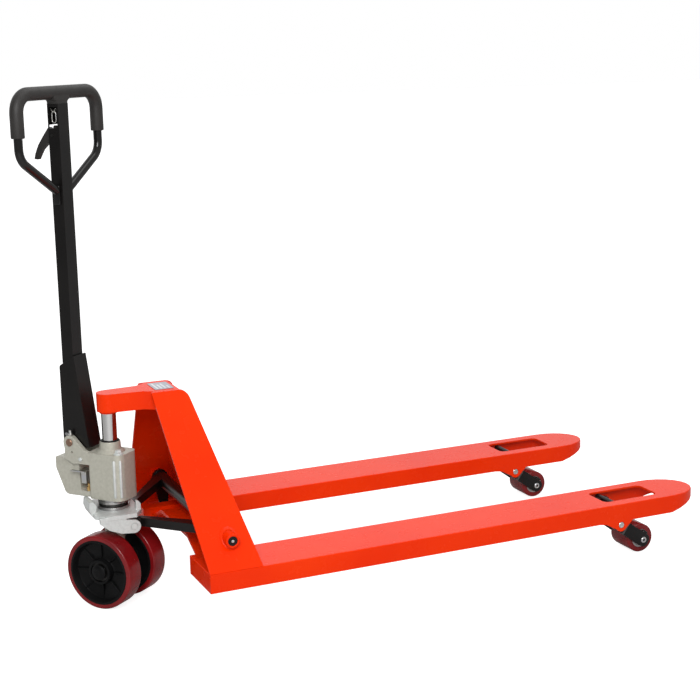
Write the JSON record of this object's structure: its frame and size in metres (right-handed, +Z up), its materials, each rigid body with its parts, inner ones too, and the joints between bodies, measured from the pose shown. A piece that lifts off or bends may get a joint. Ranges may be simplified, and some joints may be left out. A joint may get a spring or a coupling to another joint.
{
  "type": "hand pallet truck",
  "caption": "Hand pallet truck: forks raised by a rocker, push rods and load rollers, with a hydraulic pump, steer wheels, and a tiller handle with a finger lever.",
  "frame": {"origin": "on the floor below the middle of the truck's bounding box, with the truck half raised", "axes": "+X towards the fork tips, +Z up, +Y to the left of someone holding the handle and facing the forks"},
  "size_m": [1.6575, 0.686, 1.2243],
  "materials": {
    "orange_paint": "glossy orange-red powder coat",
    "black_paint": "satin black paint",
    "black_plastic": "matte moulded charcoal plastic",
    "silver_paint": "satin warm light grey paint on casting",
    "chrome": "polished hard chrome",
    "zinc": "bright zinc plate",
    "steel": "bare machined steel",
    "brass": "plain brass",
    "red_urethane": "glossy dark red polyurethane",
    "black_nylon": "moulded black nylon",
    "seal_rubber": "matte black rubber",
    "label_film": "blank grey label"
  },
  "bodies": {
    "frame": {"fork_left": "orange_paint", "fork_right": "orange_paint", "side_panel_left": "orange_paint", "side_panel_right": "orange_paint", "pivot_boss_left": "orange_paint", "pivot_boss_right": "orange_paint", "wheel_fork_pin_left": "zinc", "wheel_fork_pin_right": "zinc", "crosshead": "orange_paint", "load_stop_plate": "orange_paint", "cross_member": "orange_paint", "rocker_shaft": "black_paint", "ram": "chrome", "data_plate": "label_film"},
    "rocker": {"rocker_arm": "black_paint", "rod_pin_left": "zinc", "rod_pin_right": "zinc"},
    "push_rod_left": {"push_rod_left": "black_paint"},
    "push_rod_right": {"push_rod_right": "black_paint"},
    "wheel_fork_left": {"wheel_fork_left": "black_paint", "roller_axle_left": "zinc"},
    "wheel_fork_right": {"wheel_fork_right": "black_paint", "roller_axle_right": "zinc"},
    "roller_left": {"roller_core_left": "steel", "roller_tread_left": "red_urethane"},
    "roller_right": {"roller_core_right": "steel", "roller_tread_right": "red_urethane"},
    "thrust": {"thrust_plate": "silver_paint", "lift_pin_left": "silver_paint", "lift_pin_right": "silver_paint", "bearing_lower_race": "steel"},
    "pump": {"pump_body": "silver_paint", "bearing_upper_race": "steel", "bearing_cage": "brass", "wiper_ring": "seal_rubber", "filler_plug": "silver_paint", "adjusting_screw": "zinc", "lowering_valve": "brass", "steer_axle": "steel", "handle_pin": "steel"},
    "release_lever": {"release_lever": "zinc"},
    "plunger": {"pump_plunger": "steel", "plunger_spring": "zinc"},
    "steer_wheel_left": {"steer_tyre_left": "red_urethane", "steer_hub_left": "black_nylon", "wheel_bearing_left": "steel", "axle_cap_left": "black_nylon"},
    "steer_wheel_right": {"steer_tyre_right": "red_urethane", "steer_hub_right": "black_nylon", "wheel_bearing_right": "steel", "axle_cap_right": "black_nylon"},
    "handle": {"handle_bracket": "black_paint", "handle_mast": "black_paint", "handle_loop": "black_paint", "handle_grip": "black_plastic", "pressure_roller": "steel", "lever_pin": "zinc"},
    "control_lever": {"control_lever": "black_plastic"},
    "release_rod": {"release_rod": "zinc"}
  },
  "joints": [
    {"name": "lift", "type": "slide", "parent": "thrust", "child": "frame", "axis": [0, 0, 1], "range_m": [-0.065, 0.035]},
    {"name": "rocker_swing", "type": "hinge", "parent": "frame", "child": "rocker", "pos_m": [-0.4513, 0, 0.212], "axis": [0, 1, 0], "range_deg": [-12.2, 22.6]},
    {"name": "push_rod_swing_left", "type": "hinge", "parent": "rocker", "child": "push_rod_left", "pos_m": [-0.44459, 0.239, 0.1383], "axis": [0, 1, 0], "range_deg": [-22.6, 12.2]},
    {"name": "wheel_fork_swing_left", "type": "hinge", "parent": "frame", "child": "wheel_fork_left", "pos_m": [0.5757, 0.2675, 0.095], "axis": [0, 1, 0], "range_deg": [-39.9, 21.5]},
    {"name": "roller_spin_left", "type": "hinge", "parent": "wheel_fork_left", "child": "roller_left", "pos_m": [0.6567, 0.2675, 0.037], "axis": [0, 1, 0], "continuous": true},
    {"name": "push_rod_swing_right", "type": "hinge", "parent": "rocker", "child": "push_rod_right", "pos_m": [-0.44459, -0.239, 0.1383], "axis": [0, 1, 0], "range_deg": [-22.6, 12.2]},
    {"name": "wheel_fork_swing_right", "type": "hinge", "parent": "frame", "child": "wheel_fork_right", "pos_m": [0.5757, -0.2675, 0.095], "axis": [0, 1, 0], "range_deg": [-39.9, 21.5]},
    {"name": "roller_spin_right", "type": "hinge", "parent": "wheel_fork_right", "child": "roller_right", "pos_m": [0.6567, -0.2675, 0.037], "axis": [0, 1, 0], "continuous": true},
    {"name": "steer", "type": "hinge", "parent": "thrust", "child": "pump", "pos_m": [-0.6393, 0, 0.242], "axis": [0, 0, 1], "range_deg": [-50, 150]},
    {"name": "steer_wheel_spin_left", "type": "hinge", "parent": "pump", "child": "steer_wheel_left", "pos_m": [-0.60023, 0.03278, 0.09], "axis": [0.766, 0.6428, 0], "continuous": true},
    {"name": "steer_wheel_spin_right", "type": "hinge", "parent": "pump", "child": "steer_wheel_right", "pos_m": [-0.67837, -0.03278, 0.09], "axis": [0.766, 0.6428, 0], "continuous": true},
    {"name": "handle_tilt", "type": "hinge", "parent": "pump", "child": "handle", "pos_m": [-0.69715, 0.06894, 0.39], "axis": [-0.766, -0.6428, 0], "range_deg": [0, 78], "stiffness_Nm_per_rad": 45, "springref_deg": -14.32},
    {"name": "plunger_stroke", "type": "slide", "parent": "pump", "child": "plunger", "axis": [0, 0, -1], "range_m": [0, 0.0295], "deforming": ["plunger_spring"]},
    {"name": "control_lever_swing", "type": "hinge", "parent": "handle", "child": "control_lever", "pos_m": [-0.70358, 0.0766, 1.112], "axis": [0.766, 0.6428, 0], "range_deg": [0, 12], "stiffness_Nm_per_rad": 1, "springref_deg": -11.46},
    {"name": "release_rod_pull", "type": "slide", "parent": "handle", "child": "release_rod", "axis": [0, 0, -1], "range_m": [0, 0.0025]},
    {"name": "release_lever_tip", "type": "hinge", "parent": "pump", "child": "release_lever", "pos_m": [-0.69892, 0.02438, 0.3], "axis": [0.766, 0.6428, 0], "range_deg": [-0.1, 6.1]}
  ],
  "couplings": [
    {"joint": "rocker_swing", "follows": "lift", "rad_per_m": -6.05},
    {"joint": "push_rod_swing_left", "follows": "lift", "rad_per_m": 6.05},
    {"joint": "wheel_fork_swing_left", "follows": "lift", "rad_per_m": 10.68},
    {"joint": "push_rod_swing_right", "follows": "lift", "rad_per_m": 6.05},
    {"joint": "wheel_fork_swing_right", "follows": "lift", "rad_per_m": 10.68},
    {"joint": "plunger_stroke", "follows": "handle_tilt", "m_per_rad": 0.0215},
    {"joint": "release_rod_pull", "follows": "control_lever_swing", "m_per_rad": 0.0115},
    {"joint": "release_lever_tip", "follows": "control_lever_swing", "ratio": 0.5}
  ]
}
